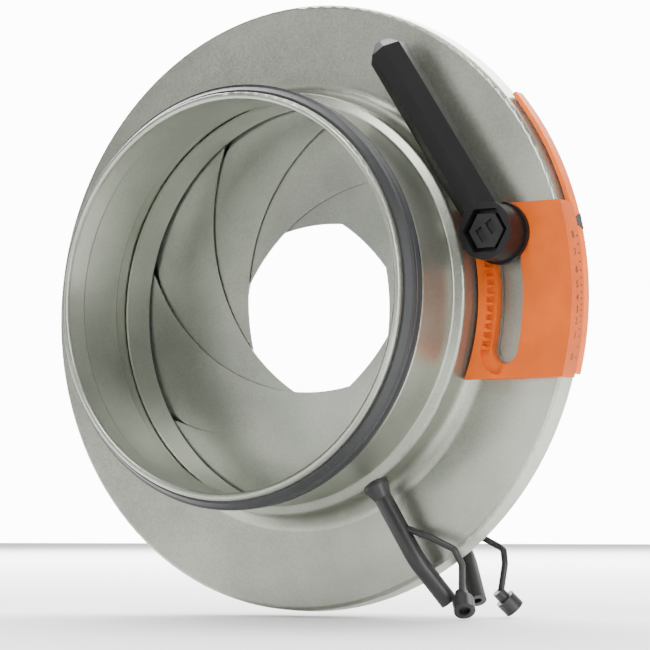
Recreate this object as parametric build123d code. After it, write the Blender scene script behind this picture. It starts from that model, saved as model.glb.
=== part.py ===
from build123d import *
import math
import os

# Iris volume control damper for a 125 mm round duct, millimetres.
# The duct axis is Y, +Z is up, and the scale and lever are on the +X side.
# The origin is on the duct axis, in the plane where the duct's end stops on the front spigot.
# Angles are measured from +X towards +Z, as seen from the front, which faces -Y.

# ---- driving dimensions: casing ----
sheet = 0.8                    # galvanised sheet
duct_spigot_r = 62.0           # outside of the plain spigot wall
groove_step = 1.1              # the wall under the gasket lies this far inside the spigot's
stop_height = 3.0              # height of the step that stops the duct
groove_r = duct_spigot_r - groove_step
root_r = duct_spigot_r + stop_height
casing_r = 94.0                # rim radius at the front face
rim_draft = 0.6                # the rim is this much wider at its open edge
root_fillet = 5.0
rim_fillet = 1.2
stop_step = 1.2                # length of the step that stops the duct
stop_to_face = 12.0            # duct stop to the casing's front face
casing_depth = 17.0            # front face to back face
front_rim_depth = 7.4          # front face to the seam with the rear housing
mouth_length = 28.0            # duct stop to the mouth bead's centre
gasket_groove_length = 9.4
mouth_bead_r = 1.1
pan_inset = 3.4                # rear housing's wall at the seam, inside the rim
pan_draft = 1.3                # its back is this much narrower
pan_r = casing_r - pan_inset
pan_r_back = pan_r - pan_draft
pan_fillet = 1.6
flange_gap = 0.8               # rear housing's flange, held by the crimp, inside the rim
flange_r = casing_r - flange_gap
crimp_width = 2.2              # hem of the front rim behind the rear flange

# ---- driving dimensions: iris ----
blade_count = 8
blade_sheet = 0.4
blade_gap = 0.25               # least gap between two blades where they pass
blade_edge_inset = 1.0         # the open blades' inner edge, inside the casing's root
blade_edge_r = root_r - blade_edge_inset
blade_width = 23.0             # at the pivot; the drive ring's wall trims the rest
blade_pivot_angle = 128.0      # first pivot
blade_closed_offset = 37.8     # centre of the first blade's edge, closed
blade_closed_angle = 48.5
blade_pass_angle = 18.9        # least turn along a blade between two that pass, degrees
blade_ear = 6.0                # blade end beyond the pin's centre
blade_corner = 4.5
blade_lead = 0.6               # blade's straight end before the pivot, degrees
drive_pin_turn = 150.0         # drive pin, round the blade from its pivot
drive_pin_r_on_blade = 75.0    # drive pin from the centre of the blade's edge
pivot_pin_r = 2.0
drive_pin_r = 1.8
pin_fit = 0.08                 # running clearance of a pin in its hole
rivet_fit = 0.05               # clearance round a pin where it is riveted into the blade
pin_head_r = 3.2
pin_head = 0.8
cam_slot_clearance = 0.3
ring_swing = 25.5              # travel of the drive ring, degrees

# ---- driving dimensions: carrier ring, drive ring, slide ring ----
collar_gap = 0.2               # carrier's collar to the inside of the spigot's root
carrier_sheet = 0.7
carrier_front = 8.5            # front edge of the collar, from the duct stop
carrier_wall_gap = 2.0         # carrier to the inside of the drive ring's wall
pivot_margin = 5.4             # blade pivots to the carrier's edge
carrier_depth = 7.8            # back of the carrier behind the casing's face
blade_clearance = 0.4          # carrier to the first blade, and last blade to the drive ring
drive_ring_sheet = 0.8
drive_ring_margin = 2.0        # its bore is this much wider than the casing's root
pan_gap = 0.3                  # its wall to the inside of the rear housing
blade_wall_gap = 0.35          # blades to the inside of the drive ring's wall
tab_gap = 0.25                 # drive ring's tab behind the casing's face
tab_half_angle = 34.0
tab_margin = 2.5               # tab's inner edge outside the casing's root
slide_fit = 0.1
slide_ring_margin = 0.6        # its bore is this much wider than the casing's root
slide_flange = 6.0             # width of its flange
slide_ring_back_gap = 0.2
spacer_r = 3.0
spacer_margin = 6.0            # spacers' centres outside the casing's root
spacer_angles = (90.0, 160.0, 232.0, 290.0)

# ---- driving dimensions: scale bracket and indicator ----
stud_inset = 3.3               # stud and slot, inside the middle of the casing's face
stud_angle = 13.2              # at rest, iris closed
slot_width = 9.6
window_width = 8.4
bracket_height = 4.5           # front of the bracket above the casing's face
bracket_top_z = 26.4
bracket_bottom_z = -25.2
bracket_root_gap = 1.2         # its lip to the casing's root
bracket_foot_gap = 0.2         # its foot to the root's fillet
bracket_lip = 1.9              # thickness of the lip over the spigot's root
bracket_wall = 2.1             # thickness of the scale
bracket_rim_gap = 0.3
scale_depth = 3.3              # scale's edge behind the casing's face
rack_depth = 1.7
rack_width = 2.7
rack_pitch = 2.15              # degrees
rack_teeth = 12
band_thickness = 1.3
band_front = 3.8
band_back = 8.3
band_half_angle = 26.9
band_gap = 0.3
pointer_angle = 12.4
pointer_depth = 5.2            # shank's axis behind the casing's face
pointer_shank_r = 1.1
pointer_width = 4.1
pointer_length = 4.2
pointer_head = 0.9
rim_slot_clearance = 0.3

# ---- driving dimensions: lever, stud and nut ----
stud_r = 3.0
stud_head_r = 5.0
stud_head = 1.2
hub_r = 8.6
hub_base_r = 9.3
hub_base = 1.6
hub_height = 10.5              # hub's front above the bracket's front
hub_gap = 0.2
lever_angle = 122.7            # direction of the arm at rest
lever_length = 70.5
lever_width = 11.6
lever_thickness = 8.6
lever_ridge_width = 4.6
lever_chamfer = 4.2
lever_tip_chamfer = 3.4
socket_flats = 12.6
socket_depth = 3.4
nut_flats = 9.9
nut_recess = 0.9
nut_pocket = (2.3, 4.2, 0.9)   # width, length, depth
nut_pocket_pitch = 3.9
nut_bore = 1.3                 # depth of the nut's bore

# ---- driving dimensions: gaskets and measuring tubes ----
gasket_lip_height = 1.7        # lips above the plain spigot wall
gasket_second_lip_height = 1.4
gasket_land = 0.9
gasket_gap = 0.05
tube_angle = -59.5
tube_centre = 3.7              # from the duct stop
tube_r = 2.75
tube_bore = 1.2
tube_foot_r = 3.9
tube_foot = 5.0
tube_stem_r = 2.0
tube_stem_fit = 0.1
tube_overhang = 11.3           # end of the tube beyond the rim
tube_bend_inset = 3.0          # where the tube turns back, inside the rim
tube_sweep_back = 6.6
strap_r = 1.0
cap_r = 3.2
cap_length = 4.6
cap_plug_r = 1.9
cap_plug = 3.0
cap_recess_r = 1.7
cap_recess = 1.4
strap_start_inset = 14.0       # strap's root on the tube, inside the rim
cap_overhang = 11.6            # cap beyond the rim

# ---- planes worked out from the driving dimensions ----
face_y = stop_to_face
back_y = face_y + casing_depth
mid_y = face_y + casing_depth / 2
seam_y = face_y + front_rim_depth
rear_stop_y = back_y + stop_to_face
mouth_y = -mouth_length
rim_open_r = casing_r + rim_draft
drive_ring_bore = root_r + drive_ring_margin
drive_ring_r = pan_r_back - sheet - pan_gap
drive_wall_r = drive_ring_r - drive_ring_sheet
carrier_collar_r = root_r - sheet - collar_gap
carrier_r = drive_wall_r - carrier_wall_gap
blade_pivot_r = carrier_r - pivot_margin
slide_ring_bore = root_r + slide_ring_margin
slide_flange_r = drive_ring_bore + slide_flange
stud_pitch_r = (root_r + casing_r) / 2 - stud_inset
bracket_inner_r = root_r + bracket_root_gap
bracket_foot_r = root_r + root_fillet + bracket_foot_gap
bracket_wall_r = rim_open_r + bracket_rim_gap + bracket_wall
gasket_lip = duct_spigot_r + gasket_lip_height
gasket_second_lip = duct_spigot_r + gasket_second_lip_height
tube_reach = casing_r + tube_overhang
tube_bend_r = casing_r - tube_bend_inset
blade_slope = (blade_sheet + blade_gap) / blade_pass_angle      # rise along a blade, mm a degree
carrier_back_y = face_y + carrier_depth
carrier_plate_y = carrier_back_y - carrier_sheet
blade_front_y = carrier_back_y + blade_clearance
parts = {}


def at(radius, angle, y=0.0):
    """A point at a radius and angle round the duct axis."""
    a = math.radians(angle)
    return Vector(radius * math.cos(a), y, radius * math.sin(a))


def turned(shape, angle):
    """A shape made at angle 0, brought round the duct axis to an angle."""
    return shape.rotate(Axis.Y, -angle)


def solid_of_revolution(points):
    """Turn a closed outline of (radius, y) points round the duct axis."""
    outline = Polyline(*[(r, y) for r, y in points], close=True)
    return revolve(make_face(Plane.XY * outline), Axis.Y, 360)


def tube_ring(inner, outer, low, high):
    return solid_of_revolution([(inner, low), (outer, low), (outer, high), (inner, high)])


def bent_sheet(points, radii, thickness):
    """A sheet outline: the outer line is given, the inner one lies to the left of its travel."""
    inner = []
    count = len(points)
    for i, (x, y) in enumerate(points):
        normals = []
        if i > 0:
            normals.append(left_of(points[i - 1], points[i]))
        if i < count - 1:
            normals.append(left_of(points[i], points[i + 1]))
        nx = sum(n[0] for n in normals) / len(normals)
        ny = sum(n[1] for n in normals) / len(normals)
        scale = thickness / (nx * nx + ny * ny)
        inner.append((x + nx * scale, y + ny * scale))
    outer_radii = []
    inner_radii = []
    for i, radius in enumerate(radii):
        turn = cross(points[i], points[i + 1], points[i + 2])
        grow = -thickness if turn > 0 else thickness
        outer_radii.append(radius)
        inner_radii.append(max(radius + grow, 0.05))
    outer_line = FilletPolyline(*points, radius=outer_radii)
    inner_line = FilletPolyline(*inner, radius=inner_radii)
    ends = [Line(points[0], inner[0]), Line(points[-1], inner[-1])]
    return make_face(Wire(outer_line.edges() + inner_line.edges() + [e.edge() for e in ends]))


def left_of(a, b):
    length = math.hypot(b[0] - a[0], b[1] - a[1])
    return (-(b[1] - a[1]) / length, (b[0] - a[0]) / length)


def cross(a, b, c):
    return (b[0] - a[0]) * (c[1] - b[1]) - (b[1] - a[1]) * (c[0] - b[0])


def mirrored(shape):
    """The same piece on the rear side of the casing."""
    return shape.mirror(Plane(origin=(0, mid_y, 0), z_dir=(0, 1, 0)))


def spigot_points():
    """Outside of the front spigot, from the mouth to the casing's face."""
    groove_end = mouth_y + gasket_groove_length
    return [
        (groove_r, mouth_y),
        (groove_r, groove_end),
        (duct_spigot_r, groove_end + 1.0),
        (duct_spigot_r, -0.2),
        (root_r, stop_step),
        (root_r, face_y),
    ]


SPIGOT_RADII = [0.9, 0.9, 0.9, 1.2]


def mouth_bead():
    bead = Plane.XY * Pos(groove_r - mouth_bead_r, mouth_y - 0.2) * Circle(mouth_bead_r)
    return revolve(bead, Axis.Y, 360)


def band_sector(inner, outer, low, high, start, end):
    """A block bounded by two radii, two planes across the axis and two angles."""
    a, b = math.radians(start), math.radians(end)
    middle = (a + b) / 2
    line = [
        Line((inner * math.cos(a), inner * math.sin(a)), (outer * math.cos(a), outer * math.sin(a))),
        ThreePointArc(*[(outer * math.cos(t), outer * math.sin(t)) for t in (a, middle, b)]),
        Line((outer * math.cos(b), outer * math.sin(b)), (inner * math.cos(b), inner * math.sin(b))),
        ThreePointArc(*[(inner * math.cos(t), inner * math.sin(t)) for t in (b, middle, a)]),
    ]
    return upright(make_face(Wire([piece.edge() for piece in line])), low, high)


def upright(face, low, high):
    """Stand a flat outline drawn in X and Z between two planes across the duct axis."""
    block = extrude(face, amount=high - low)
    return block.rotate(Axis.X, 90).translate((0, high, 0))


def arc_slot(radius, width, start, end):
    """Outline of a slot that follows a circle round the duct axis, drawn in X and Z."""
    half = width / 2
    a, b = math.radians(start), math.radians(end)
    m = (a + b) / 2
    outer, inner = radius + half, radius - half
    tip_a, tip_b = a - half / radius, b + half / radius
    line = [
        ThreePointArc(*[(outer * math.cos(t), outer * math.sin(t)) for t in (a, m, b)]),
        ThreePointArc((outer * math.cos(b), outer * math.sin(b)),
                      (radius * math.cos(tip_b), radius * math.sin(tip_b)),
                      (inner * math.cos(b), inner * math.sin(b))),
        ThreePointArc(*[(inner * math.cos(t), inner * math.sin(t)) for t in (b, m, a)]),
        ThreePointArc((inner * math.cos(a), inner * math.sin(a)),
                      (radius * math.cos(tip_a), radius * math.sin(tip_a)),
                      (outer * math.cos(a), outer * math.sin(a))),
    ]
    return make_face(Wire([piece.edge() for piece in line]))


def cylinder_y(radius, low, high, x=0.0, z=0.0):
    """A round bar along the duct axis direction."""
    return upright(Pos(x, z) * Circle(radius), low, high)


# ---- housings ----
open_end = stud_angle - ring_swing


def front_housing():
    points = spigot_points() + [(casing_r, face_y), (rim_open_r, seam_y + sheet),
                                (rim_open_r - crimp_width, seam_y + sheet)]
    radii = SPIGOT_RADII + [root_fillet, rim_fillet, 1.0]
    shell = revolve(bent_sheet(points, radii, sheet), Axis.Y, 360) + mouth_bead()
    window = upright(arc_slot(stud_pitch_r, window_width, open_end, stud_angle), face_y - 1, face_y + 2)
    slot_half = pointer_shank_r + rim_slot_clearance
    slot_turn = math.degrees(slot_half / casing_r)
    pointer_y = face_y + pointer_depth
    rim_slot = band_sector(casing_r - 3, casing_r + 3, pointer_y - slot_half, pointer_y + slot_half,
                           pointer_angle - ring_swing - slot_turn, pointer_angle + slot_turn)
    return shell - window - rim_slot - tube_hole()


def rear_housing():
    points = [(r, 2 * mid_y - y) for r, y in spigot_points()]
    points += [(pan_r_back, back_y), (pan_r, seam_y), (flange_r, seam_y)]
    radii = SPIGOT_RADII + [root_fillet, pan_fillet, 0.9]
    outline = bent_sheet([(r, -y) for r, y in points], radii, sheet).mirror(Plane.XZ)
    shell = revolve(outline, Axis.Y, 360) + mirrored(mouth_bead())
    return shell - mirrored(tube_hole())


def tube_hole():
    bore = Cylinder(tube_stem_r + tube_stem_fit, 8).rotate(Axis.Y, 90)
    return turned(bore.translate((root_r, tube_centre, 0)), tube_angle)


def gasket():
    y = mouth_y + 0.9
    base = groove_r + gasket_gap
    return solid_of_revolution([
        (base, y), (base + 0.8, y), (gasket_lip - 0.7, y + 2.0), (gasket_lip, y + 2.4),
        (gasket_lip, y + 2.4 + gasket_land), (base + 1.5, y + 4.0), (base + 1.1, y + 4.8),
        (gasket_second_lip - 0.7, y + 5.5), (gasket_second_lip, y + 5.9),
        (gasket_second_lip, y + 5.9 + gasket_land), (base + 1.2, y + 7.5), (base + 0.8, y + 8.3),
        (base, y + 8.3),
    ])


# ---- carrier ring that the blades hang on ----
def carrier_ring():
    inner = carrier_collar_r - carrier_sheet
    ring = solid_of_revolution([
        (inner, carrier_front), (carrier_collar_r, carrier_front), (carrier_collar_r, carrier_plate_y),
        (carrier_r, carrier_plate_y), (carrier_r, carrier_back_y), (inner, carrier_back_y),
    ])
    for i in range(blade_count):
        spot = at(blade_pivot_r, blade_pivot_angle + 360 * i / blade_count)
        ring -= cylinder_y(pivot_pin_r + pin_fit, carrier_plate_y - 1, carrier_back_y + 1, spot.X, spot.Z)
    return ring


def carrier_spacers():
    posts = []
    for angle in spacer_angles:
        spot = at(root_r + spacer_margin, angle)
        posts.append(cylinder_y(spacer_r, face_y + sheet, carrier_plate_y, spot.X, spot.Z))
    return posts


# ---- blades ----
edge_centre = at(blade_closed_offset, blade_closed_angle)
pivot = at(blade_pivot_r, blade_pivot_angle)
pivot_turn = math.degrees(math.atan2(pivot.Z - edge_centre.Z, pivot.X - edge_centre.X))
pivot_from_edge_centre = math.hypot(pivot.X - edge_centre.X, pivot.Z - edge_centre.Z)
blade_swing = -math.degrees(math.atan2(-pivot.Z, -pivot.X)
                            - math.atan2(edge_centre.Z - pivot.Z, edge_centre.X - pivot.X))
drive_turn = pivot_turn + drive_pin_turn
drive_pin = edge_centre + at(drive_pin_r_on_blade, drive_turn)
end_turn = math.degrees(blade_ear / pivot_from_edge_centre)
blade_height = blade_slope * (drive_pin_turn + 2 * end_turn)


def blade_y(turn):
    """Front of the first blade at an angle round the centre of its edge."""
    return blade_front_y + blade_slope * (turn - (pivot_turn - end_turn))


def helical_band(inner, outer, start, end):
    """A strip that climbs evenly as it goes round, wider and longer than a blade."""
    steps = 15
    sections = []
    for i in range(steps + 1):
        turn = start + (end - start) * i / steps
        y = blade_y(turn)
        frame = Plane(origin=edge_centre + at((inner + outer) / 2, turn, y + blade_sheet / 2),
                      x_dir=at(1, turn), z_dir=at(1, turn + 90))
        sections.append(frame * Rectangle(outer - inner, blade_sheet))
    return loft(sections)


def duct_axis_from_blade(share):
    """Where the duct axis lies for someone who rides on the first blade, at a share of its swing."""
    a = math.radians(blade_swing * share)
    x, z = -pivot.X, -pivot.Z
    return Vector(pivot.X + x * math.cos(a) - z * math.sin(a), 0, pivot.Z + x * math.sin(a) + z * math.cos(a))


def blade_outline():
    """A strip round the edge centre with an ear at the pivot, trimmed to turn inside the drive ring."""
    low, high = pivot_turn - blade_lead, drive_turn + end_turn
    inner, outer = blade_edge_r, blade_edge_r + blade_width
    arc = [math.radians(t) for t in (low, (low + high) / 2, high)]
    line = [
        ThreePointArc(*[(outer * math.cos(t), outer * math.sin(t)) for t in arc]),
        Line((outer * math.cos(arc[2]), outer * math.sin(arc[2])),
             (inner * math.cos(arc[2]), inner * math.sin(arc[2]))),
        ThreePointArc(*[(inner * math.cos(t), inner * math.sin(t)) for t in reversed(arc)]),
        Line((inner * math.cos(arc[0]), inner * math.sin(arc[0])),
             (outer * math.cos(arc[0]), outer * math.sin(arc[0]))),
    ]
    strip = make_face(Wire([piece.edge() for piece in line]))
    strip = fillet(strip.vertices(), blade_corner)
    strip = Pos(edge_centre.X, edge_centre.Z) * strip
    room = Circle(drive_wall_r - blade_wall_gap)
    for share in (0.0, 0.5, 1.0):
        axis = duct_axis_from_blade(share)
        strip &= Pos(axis.X, axis.Z) * room
    ear = Pos(pivot.X, pivot.Z) * Circle(blade_ear)
    return strip + ear


def blade():
    low = blade_front_y - 1
    band = helical_band(blade_edge_r - 4, blade_edge_r + blade_width + 5,
                        pivot_turn - end_turn - 4, drive_turn + end_turn + 4)
    plate = band & upright(blade_outline(), low, low + blade_height + 3)
    plate -= cylinder_y(pivot_pin_r + rivet_fit, low, low + 12, pivot.X, pivot.Z)
    plate -= cylinder_y(drive_pin_r + rivet_fit, low, low + 12, drive_pin.X, drive_pin.Z)
    return plate


pivot_blade_y = blade_front_y + blade_slope * end_turn
drive_blade_y = blade_y(drive_turn)
ring_plate_y = blade_front_y + blade_height + blade_sheet + blade_clearance
ring_plate_back_y = ring_plate_y + drive_ring_sheet


def blade_pins():
    head_back = carrier_plate_y - pin_fit
    pivot_pin = cylinder_y(pivot_pin_r, head_back, pivot_blade_y + blade_sheet, pivot.X, pivot.Z)
    pivot_pin += cylinder_y(pin_head_r, head_back - pin_head, head_back, pivot.X, pivot.Z)
    driver = cylinder_y(drive_pin_r, drive_blade_y, ring_plate_back_y, drive_pin.X, drive_pin.Z)
    return [pivot_pin, driver]


# ---- drive ring ----
def drive_pin_in_ring(share):
    """Where the first drive pin lies in the ring, at a share of the travel."""
    swing = math.radians(-blade_swing * share)
    dx, dz = drive_pin.X - pivot.X, drive_pin.Z - pivot.Z
    x = pivot.X + dx * math.cos(swing) - dz * math.sin(swing)
    z = pivot.Z + dx * math.sin(swing) + dz * math.cos(swing)
    back = math.radians(ring_swing * share)
    return (x * math.cos(back) - z * math.sin(back), x * math.sin(back) + z * math.cos(back))


def cam_slot():
    """The slot that keeps a blade's turn in step with the ring's."""
    width = 2 * (drive_pin_r + cam_slot_clearance)
    start, middle, end = (drive_pin_in_ring(s) for s in (0.0, 0.5, 1.0))
    return upright(SlotArc(ThreePointArc(start, middle, end), width), ring_plate_y - 1, ring_plate_back_y + 1)


def drive_ring():
    tab_front = face_y + sheet + tab_gap
    ring = tube_ring(drive_ring_bore, drive_ring_r, ring_plate_y, ring_plate_back_y)
    ring += tube_ring(drive_wall_r, drive_ring_r, tab_front, ring_plate_back_y)
    ring += band_sector(root_r + tab_margin, drive_ring_r - 0.2, tab_front, tab_front + drive_ring_sheet,
                        stud_angle - tab_half_angle, stud_angle + tab_half_angle)
    slot = cam_slot()
    for i in range(blade_count):
        ring -= turned(slot, 360 * i / blade_count)
    spot = at(stud_pitch_r, stud_angle)
    ring -= cylinder_y(stud_r + rivet_fit, tab_front - 1, tab_front + 2, spot.X, spot.Z)
    rivet_hole = Cylinder(pointer_shank_r + rivet_fit, 6).rotate(Axis.Y, 90)
    ring -= turned(rivet_hole.translate((drive_ring_r, face_y + pointer_depth, 0)), pointer_angle)
    return ring


def slide_ring():
    hub = drive_ring_bore - slide_fit
    flange_front = ring_plate_back_y + slide_ring_back_gap
    seat = back_y - sheet
    return solid_of_revolution([
        (slide_ring_bore, ring_plate_y), (hub, ring_plate_y), (hub, flange_front),
        (slide_flange_r, flange_front), (slide_flange_r, seat), (slide_ring_bore, seat),
    ])


# ---- scale bracket and indicator ----
def bracket_clip(low, high):
    """The bracket's height, cut square at its top and bottom."""
    middle = (bracket_top_z + bracket_bottom_z) / 2
    tall = bracket_top_z - bracket_bottom_z
    return Box(2 * bracket_wall_r, high - low, tall).translate((bracket_wall_r, (low + high) / 2, middle))


def scale_bracket():
    front = face_y - bracket_height
    plate = tube_ring(bracket_inner_r, bracket_wall_r, front, front + bracket_lip)
    plate += tube_ring(bracket_foot_r, bracket_wall_r, front, face_y)
    plate += tube_ring(rim_open_r + bracket_rim_gap, bracket_wall_r, front, face_y + scale_depth)
    plate &= bracket_clip(front - 1, face_y + scale_depth + 1)
    slot = arc_slot(stud_pitch_r, slot_width, open_end, stud_angle)
    plate -= upright(slot, front - 1, face_y + 1)
    slot_inner = stud_pitch_r - slot_width / 2
    recess = arc_slot(stud_pitch_r - rack_width / 2, slot_width + rack_width, open_end - 1.5, stud_angle)
    recess_block = upright(recess, front - 1, front + rack_depth)
    recess_block &= tube_ring(slot_inner - rack_width, stud_pitch_r + 1, front - 2, front + rack_depth)
    plate -= recess_block
    for i in range(rack_teeth):
        plate += rack_tooth(front, open_end - 1.0 + rack_pitch * i)
    return plate


def rack_tooth(front, angle):
    """One tooth of the rack beside the slot, its tip towards the lever's hub."""
    root = stud_pitch_r - slot_width / 2 - rack_width - 0.1
    half = rack_pitch * 0.26
    base = [at(root, angle - half), at(root + rack_width * 0.8, angle - half * 0.5),
            at(root + rack_width * 0.8, angle + half * 0.5), at(root, angle + half)]
    outline = make_face(Polyline(*[(p.X, p.Z) for p in base], close=True))
    return upright(outline, front + 0.3, front + rack_depth)


def indicator_band():
    inner = rim_open_r + band_gap
    band = band_sector(inner, inner + band_thickness, face_y + band_front, face_y + band_back,
                       pointer_angle - band_half_angle, pointer_angle + band_half_angle)
    hole = Cylinder(pointer_shank_r + rivet_fit, 8).rotate(Axis.Y, 90)
    return band - turned(hole.translate((inner, face_y + pointer_depth, 0)), pointer_angle)


def pointer():
    """Pointer whose shank joins the band to the drive ring's wall."""
    seat = rim_open_r + band_gap + band_thickness
    start = drive_wall_r
    shank = Cylinder(pointer_shank_r, seat - start + 0.4).rotate(Axis.Y, 90)
    shank = shank.translate(((seat + start + 0.4) / 2, pointer_depth, 0))
    middle = (band_front + band_back) / 2
    head = Box(pointer_head, pointer_length, pointer_width)
    head = fillet(head.edges().filter_by(Axis.X), 0.6).translate((seat + 0.02 + pointer_head / 2, middle, 0))
    return turned((shank + head).translate((0, face_y, 0)), pointer_angle)


# ---- stud, lever and lock nut ----
stud_spot = at(stud_pitch_r, stud_angle)
hub_back = face_y - bracket_height - hub_gap
hub_front = hub_back + hub_gap - hub_height
nut_back = hub_front + socket_depth


def clamp_stud():
    tab_front = face_y + sheet + tab_gap
    tab_back = tab_front + drive_ring_sheet
    shank = cylinder_y(stud_r, nut_back - nut_bore + 0.1, tab_back, stud_spot.X, stud_spot.Z)
    return shank + cylinder_y(stud_head_r, tab_back, tab_back + stud_head, stud_spot.X, stud_spot.Z)


def lever():
    """Arm with a raised ridge, running into a round hub with a hexagonal socket."""
    hub = Circle(hub_r)
    body = upright(hub, hub_front, hub_back)
    body += upright(Circle(hub_base_r), hub_back - hub_base, hub_back)
    half, ridge = lever_width / 2, lever_ridge_width / 2
    back = hub_front + lever_thickness
    section = Polyline((half, back), (half, hub_front + lever_chamfer), (ridge, hub_front),
                       (-ridge, hub_front), (-half, hub_front + lever_chamfer), (-half, back), close=True)
    arm = extrude(make_face(Plane.XY * section), amount=lever_length)
    tip = arm.faces().sort_by(Axis.Z)[-1]
    arm = chamfer(tip.edges(), lever_tip_chamfer, lever_tip_chamfer * 0.8)
    arm = arm.rotate(Axis.Y, 90 - lever_angle)
    body += arm
    socket = upright(RegularPolygon(socket_flats / 2, 6, major_radius=False), hub_front - 1,
                     hub_front + socket_depth)
    body -= socket
    body -= upright(Circle(stud_r + pin_fit), hub_front - 1, hub_back + 1)
    return body.translate((stud_spot.X, 0, stud_spot.Z))


def lock_nut():
    """Hexagonal nut in the lever's socket, with two pockets for the moulding's key."""
    nut = upright(RegularPolygon(nut_flats / 2, 6, major_radius=False), hub_front + nut_recess, nut_back)
    nut -= upright(Circle(stud_r + pin_fit), nut_back - nut_bore, nut_back + 1)
    width, length, depth = nut_pocket
    for side in (-1, 1):
        pocket = Box(width, depth * 2, length).translate((side * nut_pocket_pitch / 2, 0, 0))
        pocket = pocket.translate((0, hub_front + nut_recess, 0)).rotate(Axis.Y, 90 - lever_angle)
        nut -= pocket
    return nut.translate((stud_spot.X, 0, stud_spot.Z))


# ---- measuring tubes ----
def measuring_tube():
    """Rubber tube with a flared foot, standing on the spigot's root and bent back past the rim."""
    y0 = tube_centre
    y1 = y0 + 1.6
    y2 = y1 + tube_sweep_back
    wall = root_r + tube_stem_fit
    path = FilletPolyline((root_r - 3, y0 - 0.15), (tube_bend_r, y1), (tube_reach, y2), radius=16)
    start = Plane(origin=path @ 0, z_dir=path % 0)
    foot = [(wall - 2, 0), (wall - 2, tube_foot_r), (wall + 1.0, tube_foot_r),
            (wall + tube_foot, tube_r - 0.35), (wall + tube_foot, 0)]
    tube = sweep(start * Circle(tube_r), path=path)
    tube += revolve(make_face(Polyline(*foot, close=True)), Axis.X, 360).translate((0, y0, 0))
    tube -= tube_ring(root_r - 20, wall, y0 - 20, y0 + 20)
    stem = Cylinder(tube_stem_r, 4).rotate(Axis.Y, 90).translate((wall, y0, 0))
    tube += stem & Box(6, 20, 20).translate((wall + 1.2, y0, 0))
    tube -= sweep(start * Circle(tube_bore), path=path)
    return turned(tube, tube_angle)


def cap_with_strap():
    """Rubber cap on a strap that is moulded round the tube."""
    y0 = tube_centre
    plug_start = Vector(casing_r + cap_overhang, y0 + 5.6, 6.2)
    strap_start = casing_r - strap_start_inset
    direction = Vector(0.83, -0.55, 0.05).normalized()
    strap_path = FilletPolyline((strap_start, y0 + 0.9, 1.0), (strap_start + 7.5, y0 + 1.2, 7.6),
                                (casing_r + 0.6, y0 + 1.8, 12.6), (casing_r + 5.2, y0 + 3.6, 11.6), tuple(plug_start + direction * 1.2),
                                radius=[6.0, 2.4, 3.0])
    strap = sweep(Plane(origin=strap_path @ 0, z_dir=strap_path % 0) * Circle(strap_r), path=strap_path)
    frame = Plane(origin=plug_start, z_dir=direction)
    cap = extrude(frame * Circle(cap_plug_r), amount=cap_plug)
    cap += extrude(frame.offset(cap_plug) * Circle(cap_r), amount=cap_length)
    cap -= extrude(frame.offset(cap_plug + cap_length - cap_recess) * Circle(cap_recess_r), amount=cap_recess + 1)
    piece = strap + cap
    keep_out = Cylinder(tube_r + 0.02, casing_r).rotate(Axis.Y, 90).translate((strap_start, y0 + 1.0, 0))
    return turned(piece - keep_out, tube_angle)


parts["front_housing"] = front_housing()
parts["rear_housing"] = rear_housing()
parts["front_gasket"] = gasket()
parts["rear_gasket"] = mirrored(gasket())
parts["carrier_ring"] = carrier_ring()
parts["carrier_spacers"] = carrier_spacers()
parts["slide_ring"] = slide_ring()
parts["drive_ring"] = drive_ring()
first_blade = blade()
first_pins = blade_pins()
for i in range(blade_count):
    turn = 360 * i / blade_count
    parts[f"blade_{i + 1}"] = turned(first_blade, turn)
    parts[f"blade_pins_{i + 1}"] = [turned(pin, turn) for pin in first_pins]
parts["scale_bracket"] = scale_bracket()
parts["indicator_band"] = indicator_band()
parts["pointer"] = pointer()
parts["clamp_stud"] = clamp_stud()
parts["lever"] = lever()
parts["lock_nut"] = lock_nut()
parts["front_measuring_tube"] = measuring_tube()
parts["rear_measuring_tube"] = mirrored(measuring_tube())
parts["front_tube_cap"] = cap_with_strap()
parts["rear_tube_cap"] = mirrored(cap_with_strap())

os.makedirs("parts", exist_ok=True)
for name, piece in parts.items():
    solids = piece if isinstance(piece, list) else piece.solids()
    shape = Compound(children=solids) if len(solids) > 1 else solids[0]
    shape.label = name
    export_step(shape, f"parts/{name}.step")
print("blade swing", round(blade_swing, 3), "ratio", round(blade_swing / ring_swing, 4))
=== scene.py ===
import math

import bpy
from mathutils import Matrix, Vector


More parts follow.
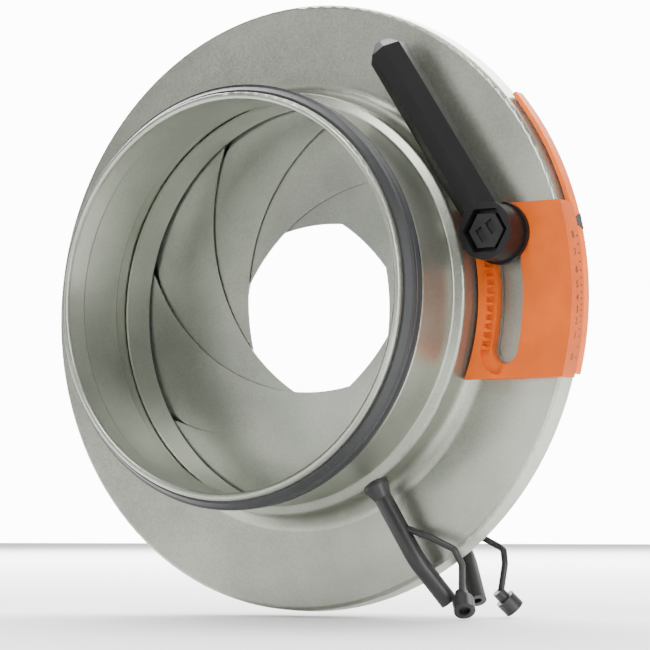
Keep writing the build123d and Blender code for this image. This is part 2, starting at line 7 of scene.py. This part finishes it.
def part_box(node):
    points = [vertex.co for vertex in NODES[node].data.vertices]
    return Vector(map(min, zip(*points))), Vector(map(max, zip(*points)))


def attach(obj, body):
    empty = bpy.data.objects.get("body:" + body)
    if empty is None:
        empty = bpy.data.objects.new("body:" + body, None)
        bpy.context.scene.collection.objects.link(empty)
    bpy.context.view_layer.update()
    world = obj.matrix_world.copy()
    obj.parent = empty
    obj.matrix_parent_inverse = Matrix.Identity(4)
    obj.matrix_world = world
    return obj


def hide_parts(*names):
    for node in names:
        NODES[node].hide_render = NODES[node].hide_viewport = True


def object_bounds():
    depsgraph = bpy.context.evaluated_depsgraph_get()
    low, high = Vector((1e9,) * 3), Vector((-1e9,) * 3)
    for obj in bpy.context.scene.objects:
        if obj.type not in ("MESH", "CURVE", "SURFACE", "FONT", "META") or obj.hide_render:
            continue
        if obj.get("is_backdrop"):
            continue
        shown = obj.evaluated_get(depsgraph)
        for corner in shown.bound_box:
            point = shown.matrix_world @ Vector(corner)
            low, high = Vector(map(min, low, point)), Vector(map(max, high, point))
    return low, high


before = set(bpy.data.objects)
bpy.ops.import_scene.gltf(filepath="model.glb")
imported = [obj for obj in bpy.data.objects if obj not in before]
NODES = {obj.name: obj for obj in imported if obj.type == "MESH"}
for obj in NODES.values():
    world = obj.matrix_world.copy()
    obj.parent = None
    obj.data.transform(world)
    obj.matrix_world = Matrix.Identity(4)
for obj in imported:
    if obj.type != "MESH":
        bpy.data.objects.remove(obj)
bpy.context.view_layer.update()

# ---- camera, in metres and radians ----
CAMERA_AZIMUTH = 0.5671
CAMERA_ELEVATION = -0.0807
CAMERA_RIGHT = 0.00814          # the camera's own right, up and back, from where the axis meets the face
CAMERA_UP = -0.00599
CAMERA_BACK = 0.80654
CAMERA_AIM_Y = 0.012            # the casing's face
CAMERA_NEAR = 0.01
LENS_MM = 144
SENSOR_MM = 36

# ---- room: dark in front, bright behind, and a white wall behind the damper ----
ROOM_DARK = 0.10
ROOM_BRIGHT = 1.0
ROOM_DARK_Y = -0.1
ROOM_BRIGHT_Y = 0.9
WHITE_WALL = 12.0
WHITE_WALL_DIRECTION = (-0.535, 0.841, 0.08)
WHITE_WALL_EDGE = 0.86          # cosines of the angle to that direction: the wall begins, and is full
WHITE_WALL_FULL = 0.955

# ---- soft boxes: name, place, aim, width and height, watts ----
SOFT_BOXES = (
    ("key_light", (-0.95, -1.05, 0.75), (0.02, 0, 0.0), (0.6, 0.8), 2),
    ("front_light", (-0.34, -1.0, -0.04), (0.05, 0, -0.02), (0.35, 0.5), 2.0),
    ("top_front_light", (0.1, -0.8, 0.9), (0, 0, -0.03), (0.5, 0.4), 11),
    ("side_light", (1.25, -0.55, 0.35), (0, 0, 0), (0.5, 1.0), 15),
    ("top_light", (0.0, 0.1, 1.4), (0, 0, 0), (1.0, 0.7), 7),
    ("floor_light", (-1.0, 1.6, 1.2), (-1.0, 1.6, 0), (3.0, 2.0), 260),
)

# ---- floor ----
FLOOR_WIDTH = 12
FLOOR_GAP = 0.0004              # below the lowest point of the damper
FLOOR_COLOUR = (0.93, 0.93, 0.93)
FLOOR_ROUGHNESS = 0.9

# ---- metals: darker and lighter cloud, roughness, strength of the speckle, nodes ----
METALS = {
    "galvanised_sheet": ((0.33, 0.35, 0.295), (0.43, 0.45, 0.385), 0.34, 0.5,
                         ("front_housing", "rear_housing")),
    "iris_sheet": ((0.40, 0.42, 0.365), (0.50, 0.52, 0.46), 0.36, 0.5, ("carrier_ring", "drive_ring")),
    "blade_sheet": ((0.33, 0.35, 0.305), (0.45, 0.47, 0.415), 0.34, 0.45,
                    tuple(n for n in NODES if n.startswith("blade_") and "pins" not in n)),
    "plated_steel": ((0.55, 0.55, 0.52), (0.62, 0.62, 0.59), 0.30, 0.2,
                     ("carrier_spacers", "clamp_stud", *(n for n in NODES if n.startswith("blade_pins")))),
}
METALLIC = 0.85
CLOUD_SCALE, CLOUD_DETAIL = 38, 4
CLOUD_STOPS = (0.32, 0.68)
SPECKLE_SCALE, SPECKLE_DETAIL = 1700, 2
SPECKLE_DARK, SPECKLE_LIGHT = (0.66, 0.66, 0.66), (1.0, 1.0, 1.0)
SPECKLE_STOPS = (0.34, 0.66)
SPECKLE_BUMP = 0.12
SMOOTHER, ROUGHER = 0.05, 0.07   # how far the speckle takes the roughness down and up
ROUGHNESS_STOPS = (0.35, 0.65)
BUMP_HEIGHT = 0.0002

# ---- plastics and rubbers: colour, roughness, scale and strength of the grain, specular level, nodes ----
PLASTICS = {
    "seal_rubber": ((0.020, 0.021, 0.022), 0.45, 1400, 0.1, 0.5, ("front_gasket", "rear_gasket")),
    "tube_rubber": ((0.018, 0.018, 0.019), 0.42, 900, 0.1, 0.5,
                    ("front_measuring_tube", "rear_measuring_tube", "front_tube_cap", "rear_tube_cap")),
    "black_plastic": ((0.006, 0.006, 0.0065), 0.42, 1600, 0.16, 0.28, ("lever", "pointer")),
    "nut_plastic": ((0.014, 0.014, 0.014), 0.45, 1600, 0.10, 0.28, ("lock_nut",)),
    "orange_plastic": ((0.60, 0.10, 0.006), 0.55, 1500, 0.06, 0.2, ("scale_bracket",)),
    "band_plastic": ((0.88, 0.16, 0.012), 0.55, 1500, 0.06, 0.2, ("indicator_band",)),
    "bearing_plastic": ((0.62, 0.62, 0.58), 0.4, 1400, 0.1, 0.5, ("slide_ring",)),
}
TINT_SCALE, TINT_DETAIL = 90, 3
TINT_DARKER, TINT_LIGHTER = 0.88, 1.1
TINT_STOPS = (0.3, 0.7)
GRAIN_DETAIL = 2

# ---- scale on the bracket, with angles in degrees round from +X towards +Z ----
NUMERAL_ANGLES = (-11.6, -7.9, -5.4, -3.4, -1.4, 0.9, 3.5, 6.5, 9.6)
NUMERAL_SIZE = 0.0030
NUMERAL_PROUD = 0.00004
NUMERAL_FROM_EDGE = 0.0042       # this and the next are from the bracket's rear edge
MARK_START = 0.0021
MARK_LENGTH = 0.0009
MARK_HALF = 0.00022
INK_COLOUR = (0.03, 0.015, 0.01)
INK_ROUGHNESS = 0.5

# ---- pointer on the indicator band ----
POINTER_BASE_HALF = 0.0024      # half its width at the base and at the tip
POINTER_TIP_HALF = 0.0008
POINTER_SUNK = 0.0006           # below and above the band's surface
POINTER_PROUD = 0.0003


# ---------------------------------------------------------------- object helpers
def add_object(name, data):
    """An object that holds the data, in the scene."""
    made = bpy.data.objects.new(name, data)
    bpy.context.scene.collection.objects.link(made)
    return made


def out_and_up(angle):
    """At an angle round the duct's axis: straight out from it, and the way round."""
    return Vector((math.cos(angle), 0, math.sin(angle))), Vector((-math.sin(angle), 0, math.cos(angle)))


# ---------------------------------------------------------------- node helpers
def new_material(name):
    material = bpy.data.materials.new(name)
    material.use_nodes = True
    return material, material.node_tree.nodes, material.node_tree.links


def object_noise(nodes, links, scale, detail):
    """Noise that is fixed to the piece."""
    place = nodes.new("ShaderNodeTexCoord")
    noise = nodes.new("ShaderNodeTexNoise")
    noise.inputs["Scale"].default_value = scale
    noise.inputs["Detail"].default_value = detail
    links.new(place.outputs["Object"], noise.inputs["Vector"])
    return noise.outputs["Fac"]


def ramp(nodes, links, value, stops, colours):
    """A change from one colour to another, as the value goes from one stop to the other."""
    node = nodes.new("ShaderNodeValToRGB")
    for element, position, colour in zip(node.color_ramp.elements, stops, colours):
        element.position = position
        element.color = (*colour, 1)
    links.new(value, node.inputs["Fac"])
    return node.outputs["Color"]


def multiply_colours(nodes, links, amount, first, second):
    node = nodes.new("ShaderNodeMix")
    node.data_type = "RGBA"
    node.blend_type = "MULTIPLY"
    node.inputs["Factor"].default_value = amount
    links.new(first, node.inputs["A"])
    links.new(second, node.inputs["B"])
    return node.outputs["Result"]


def bump(nodes, links, height, strength):
    node = nodes.new("ShaderNodeBump")
    node.inputs["Strength"].default_value = strength
    node.inputs["Distance"].default_value = BUMP_HEIGHT
    links.new(height, node.inputs["Height"])
    return node.outputs["Normal"]


# ---------------------------------------------------------------- materials
def metal_sheet(name, dark, light, roughness, speckle):
    """Plated metal: soft clouds under a fine speckle."""
    material, nodes, links = new_material(name)
    shader = nodes["Principled BSDF"]
    shader.inputs["Metallic"].default_value = METALLIC
    cloud_noise = object_noise(nodes, links, CLOUD_SCALE, CLOUD_DETAIL)
    clouds = ramp(nodes, links, cloud_noise, CLOUD_STOPS, (dark, light))
    grain = object_noise(nodes, links, SPECKLE_SCALE, SPECKLE_DETAIL)
    grain_colour = ramp(nodes, links, grain, SPECKLE_STOPS, (SPECKLE_DARK, SPECKLE_LIGHT))
    colour = multiply_colours(nodes, links, speckle, clouds, grain_colour)
    links.new(colour, shader.inputs["Base Color"])
    low, high = (roughness - SMOOTHER,) * 3, (roughness + ROUGHER,) * 3
    links.new(ramp(nodes, links, grain, ROUGHNESS_STOPS, (low, high)), shader.inputs["Roughness"])
    links.new(bump(nodes, links, grain, SPECKLE_BUMP), shader.inputs["Normal"])
    return material


def satin(name, colour, roughness, grain_scale, grain, specular):
    """Moulded plastic or rubber with a slight grain."""
    material, nodes, links = new_material(name)
    shader = nodes["Principled BSDF"]
    shader.inputs["Roughness"].default_value = roughness
    shader.inputs["Specular IOR Level"].default_value = specular
    soft = object_noise(nodes, links, TINT_SCALE, TINT_DETAIL)
    low = tuple(c * TINT_DARKER for c in colour)
    high = tuple(min(1.0, c * TINT_LIGHTER) for c in colour)
    links.new(ramp(nodes, links, soft, TINT_STOPS, (low, high)), shader.inputs["Base Color"])
    fine = object_noise(nodes, links, grain_scale, GRAIN_DETAIL)
    links.new(bump(nodes, links, fine, grain), shader.inputs["Normal"])
    return material


def plain(name, colour, roughness):
    """One colour, for ink and the floor."""
    material, nodes, _ = new_material(name)
    shader = nodes["Principled BSDF"]
    shader.inputs["Base Color"].default_value = (*colour, 1)
    shader.inputs["Roughness"].default_value = roughness
    return material


def dress(material, names):
    """Give the CAD nodes a material in every slot."""
    for name in names:
        node = NODES[name]
        if not node.material_slots:
            node.data.materials.append(material)
        for slot in node.material_slots:
            slot.material = material


def dress_everything():
    for name, (dark, light, roughness, speckle, nodes) in METALS.items():
        dress(metal_sheet(name, dark, light, roughness, speckle), nodes)
    for name, (colour, roughness, grain_scale, grain, specular, nodes) in PLASTICS.items():
        dress(satin(name, colour, roughness, grain_scale, grain, specular), nodes)


# ---------------------------------------------------------------- scale
def scale_numerals(ink):
    """Numbers 0 to 8 round the bracket's edge, upright when seen from the scale's side."""
    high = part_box("scale_bracket")[1]
    radius = high[0] + NUMERAL_PROUD
    middle = Vector((0, high[1] - NUMERAL_FROM_EDGE, 0))
    for number, degrees in enumerate(NUMERAL_ANGLES):
        text = bpy.data.curves.new(f"numeral_{number}", "FONT")
        text.body = str(number)
        text.size = NUMERAL_SIZE
        text.align_x = "CENTER"
        text.align_y = "CENTER"
        text.extrude = NUMERAL_PROUD / 2
        piece = add_object(f"numeral_{number}", text)
        out, up = out_and_up(math.radians(degrees))
        turn = Matrix((Vector((0, 1, 0)), up, out)).transposed().to_4x4()
        piece.matrix_world = Matrix.Translation(out * radius + middle) @ turn
        text.materials.append(ink)
        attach(piece, "casing")


def scale_marks(ink):
    """Short marks at each number and halfway between two, nearer the bracket's edge."""
    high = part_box("scale_bracket")[1]
    halfway = [(a + b) / 2 for a, b in zip(NUMERAL_ANGLES, NUMERAL_ANGLES[1:])]
    corners, faces = [], []
    for degrees in sorted(halfway + list(NUMERAL_ANGLES)):
        out, up = out_and_up(math.radians(degrees))
        for y in (high[1] - MARK_START, high[1] - MARK_START + MARK_LENGTH):
            for side in (-MARK_HALF, MARK_HALF):
                corners.append(out * (high[0] + NUMERAL_PROUD) + up * side + Vector((0, y, 0)))
        first = len(corners) - 4
        faces.append((first, first + 2, first + 3, first + 1))
    mesh = bpy.data.meshes.new("scale_marks")
    mesh.from_pydata(corners, [], faces)
    mesh.materials.append(ink)
    piece = add_object("scale_marks", mesh)
    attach(piece, "casing")


# ---------------------------------------------------------------- pointer
def pointer():
    """Flat black arrow on the band, its tip towards the scale."""
    low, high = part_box("pointer")
    band_low, band_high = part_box("indicator_band")
    radius = band_high[0]
    out, up = out_and_up(math.atan2((low[2] + high[2]) / 2, (low[0] + high[0]) / 2))
    base_y, tip_y = high[1], band_low[1]
    outline = [(base_y, -POINTER_BASE_HALF), (base_y, POINTER_BASE_HALF),
               (tip_y, POINTER_TIP_HALF), (tip_y, -POINTER_TIP_HALF)]
    corners = [out * (radius + rise) + up * side + Vector((0, y, 0))
               for rise in (-POINTER_SUNK, POINTER_PROUD) for y, side in outline]
    sides = [(i, (i + 1) % 4, (i + 1) % 4 + 4, i + 4) for i in range(4)]
    mesh = bpy.data.meshes.new("pointer_arrow")
    mesh.from_pydata(corners, [], [(3, 2, 1, 0), (4, 5, 6, 7)] + sides)
    mesh.materials.append(bpy.data.materials["black_plastic"])
    piece = add_object("pointer_arrow", mesh)
    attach(piece, "control_ring")
    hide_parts("pointer")


# ---------------------------------------------------------------- studio
def floor():
    """A wide white floor just below the damper."""
    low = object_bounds()[0]
    bpy.ops.mesh.primitive_plane_add(size=FLOOR_WIDTH, location=(0, 0, low[2] - FLOOR_GAP))
    plane = bpy.context.object
    plane.name = "floor"
    plane.data.materials.append(plain("floor_white", FLOOR_COLOUR, FLOOR_ROUGHNESS))
    plane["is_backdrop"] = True


def softbox(name, place, aim, size, watts):
    """A rectangular light at a place, turned to its aim."""
    light = bpy.data.lights.new(name, "AREA")
    light.shape = "RECTANGLE"
    light.size, light.size_y = size
    light.energy = watts
    lamp = add_object(name, light)
    lamp.location = place
    lamp.rotation_euler = (Vector(aim) - Vector(place)).to_track_quat("-Z", "Y").to_euler()


def smooth_step(nodes, links, value, start, end, first, last):
    """A smooth change from the first brightness to the last, as the value goes from start to end."""
    node = nodes.new("ShaderNodeMapRange")
    node.inputs["From Min"].default_value = start
    node.inputs["From Max"].default_value = end
    node.inputs["To Min"].default_value = first
    node.inputs["To Max"].default_value = last
    node.interpolation_type = "SMOOTHSTEP"
    links.new(value, node.inputs["Value"])
    return node.outputs["Result"]


def studio_light():
    """A room that is darker in front, with a bright white wall behind the damper, and the soft boxes."""
    world = bpy.data.worlds.new("studio")
    world.use_nodes = True
    nodes, links = world.node_tree.nodes, world.node_tree.links
    place = nodes.new("ShaderNodeTexCoord")
    split = nodes.new("ShaderNodeSeparateXYZ")
    links.new(place.outputs["Generated"], split.inputs["Vector"])
    room = smooth_step(nodes, links, split.outputs["Y"], ROOM_DARK_Y, ROOM_BRIGHT_Y, ROOM_DARK, ROOM_BRIGHT)
    towards = nodes.new("ShaderNodeVectorMath")
    towards.operation = "DOT_PRODUCT"
    towards.inputs[1].default_value = WHITE_WALL_DIRECTION
    links.new(place.outputs["Generated"], towards.inputs[0])
    nearness = towards.outputs["Value"]
    wall = smooth_step(nodes, links, nearness, WHITE_WALL_EDGE, WHITE_WALL_FULL, 0.0, WHITE_WALL)
    total = nodes.new("ShaderNodeMath")
    total.operation = "ADD"
    links.new(room, total.inputs[0])
    links.new(wall, total.inputs[1])
    background = nodes["Background"]
    background.inputs["Color"].default_value = (1, 1, 1, 1)
    links.new(total.outputs["Value"], background.inputs["Strength"])
    bpy.context.scene.world = world
    for soft_box in SOFT_BOXES:
        softbox(*soft_box)


def camera():
    """The camera of the photograph, turned by its azimuth and elevation."""
    right = Vector((math.cos(CAMERA_AZIMUTH), math.sin(CAMERA_AZIMUTH), 0))
    back = Vector((math.sin(CAMERA_AZIMUTH) * math.cos(CAMERA_ELEVATION),
                   -math.cos(CAMERA_AZIMUTH) * math.cos(CAMERA_ELEVATION), math.sin(CAMERA_ELEVATION)))
    up = back.cross(right)
    data = bpy.data.cameras.new("camera")
    data.lens = LENS_MM
    data.sensor_width = SENSOR_MM
    data.clip_start = CAMERA_NEAR
    eye = add_object("camera", data)
    place = CAMERA_RIGHT * right + CAMERA_UP * up + CAMERA_BACK * back + Vector((0, CAMERA_AIM_Y, 0))
    eye.matrix_world = Matrix.Translation(place) @ Matrix((right, up, back)).transposed().to_4x4()
    bpy.context.scene.camera = eye


dress_everything()
scale_ink = plain("scale_ink", INK_COLOUR, INK_ROUGHNESS)
scale_numerals(scale_ink)
scale_marks(scale_ink)
pointer()
floor()
studio_light()
camera()
